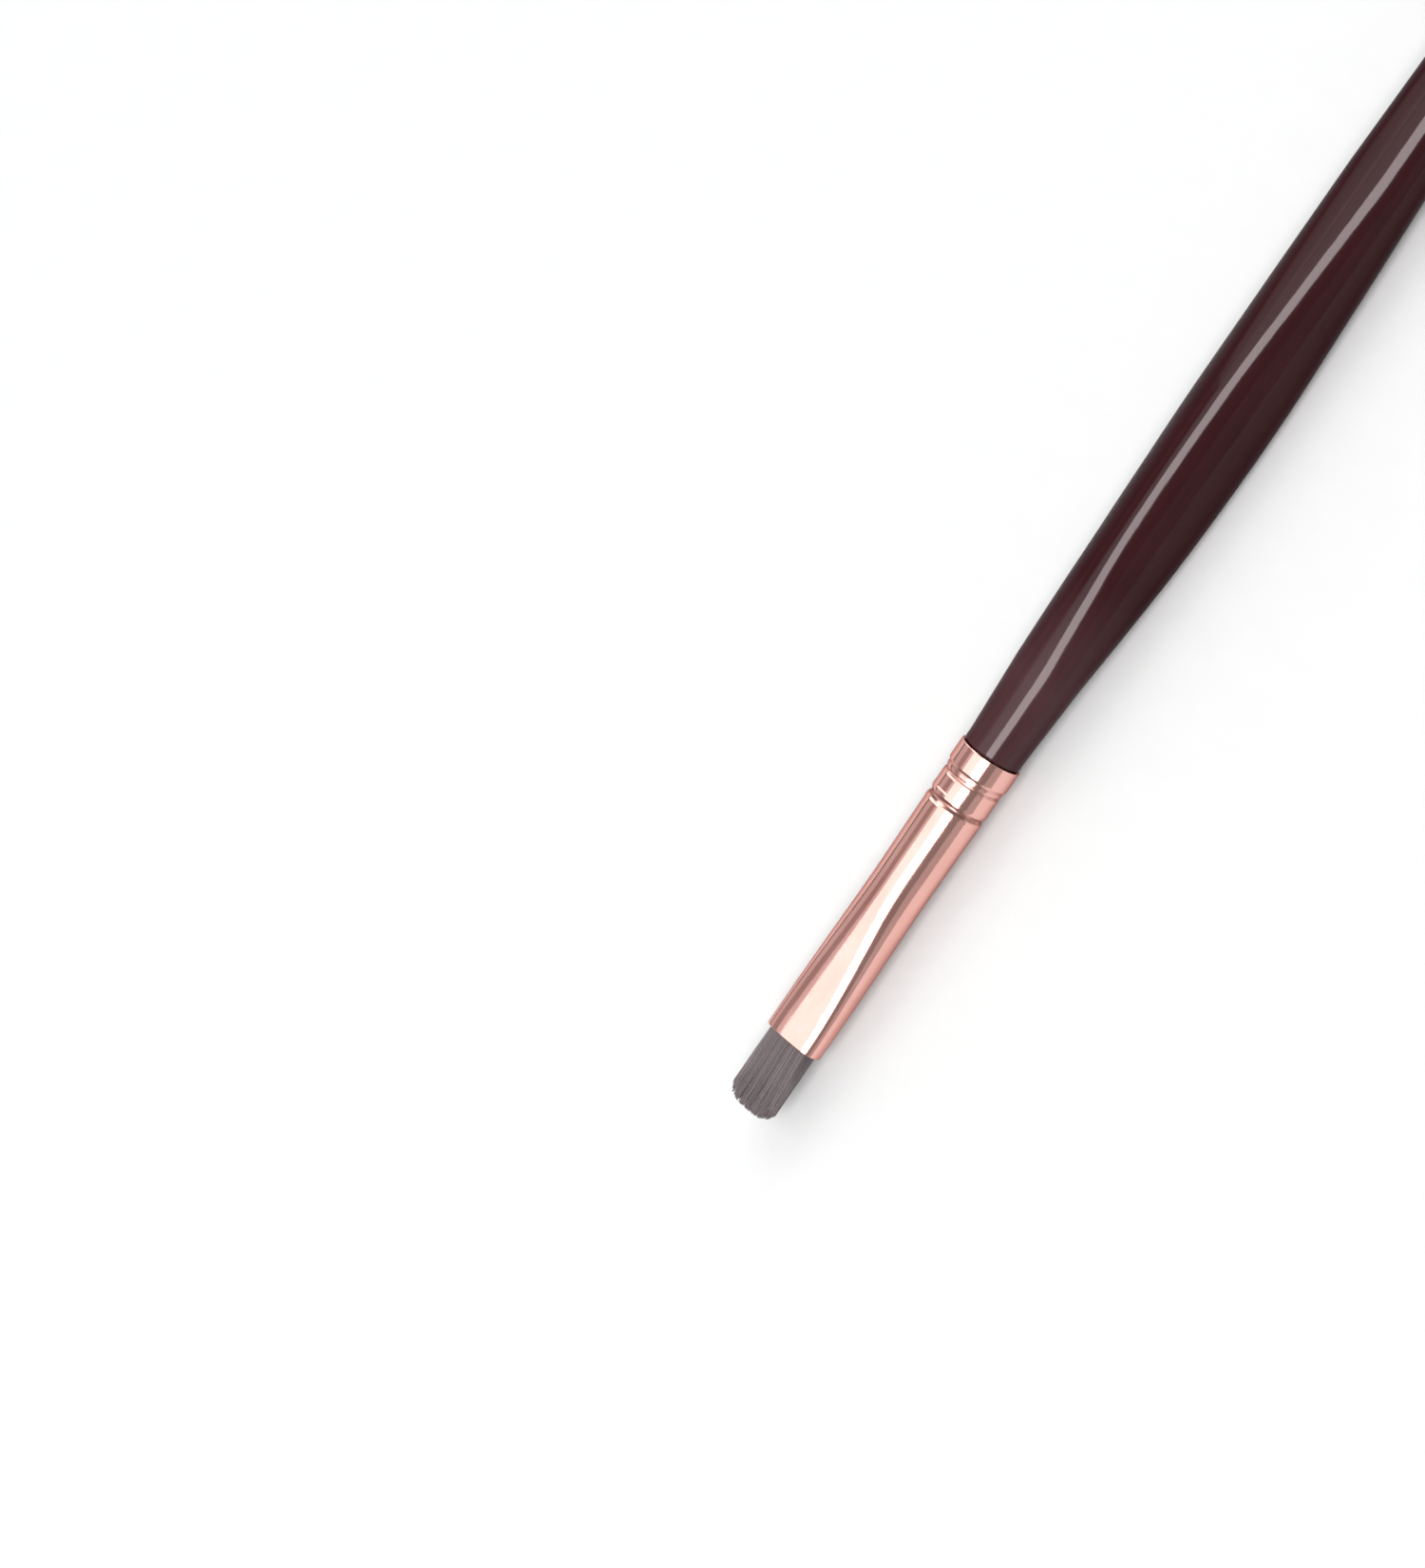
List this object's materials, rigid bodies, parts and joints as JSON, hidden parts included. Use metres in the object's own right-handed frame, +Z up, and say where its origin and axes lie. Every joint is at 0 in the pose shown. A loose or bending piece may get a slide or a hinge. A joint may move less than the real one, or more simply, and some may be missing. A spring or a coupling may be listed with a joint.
{
  "type": "flat detail paint brush",
  "caption": "Small flat artist's brush: lacquered wooden handle with a softly three-sided belly, crimped rose gold ferrule pressed flat at its mouth, short blunt chisel tuft.",
  "frame": {"origin": "on the surface that the brush lies on, below the middle of its length", "axes": "+X along the brush from the tuft's tip to the handle's end, +Y across the flat tuft, +Z up from the flat side of the handle that the brush lies on"},
  "size_m": [0.18, 0.0082, 0.008],
  "materials": {
    "lacquered_wood": "shaped hardwood under high gloss dark burgundy lacquer",
    "rose_gold": "drawn brass tube, rose gold plated and polished",
    "hair": "fine tapered synthetic filaments, dark purple grey",
    "cured_adhesive": "cured amber glue film",
    "cured_resin": "clear amber cured resin",
    "waxed_thread": "waxed twisted thread"
  },
  "bodies": {
    "root": {"handle": "lacquered_wood", "ferrule": "rose_gold", "adhesive_sleeve": "cured_adhesive", "resin_plug": "cured_resin", "binding_thread": "waxed_thread", "hair_lock_01": "hair", "hair_lock_02": "hair", "hair_lock_03": "hair", "hair_lock_04": "hair", "hair_lock_05": "hair", "hair_lock_06": "hair", "hair_lock_07": "hair", "hair_lock_08": "hair", "hair_lock_09": "hair", "hair_lock_10": "hair", "hair_lock_11": "hair", "hair_lock_12": "hair", "hair_lock_13": "hair", "hair_lock_14": "hair", "hair_lock_15": "hair", "hair_lock_16": "hair", "hair_lock_17": "hair", "hair_lock_18": "hair", "hair_lock_19": "hair", "hair_lock_20": "hair", "hair_lock_21": "hair"}
  },
  "joints": []
}
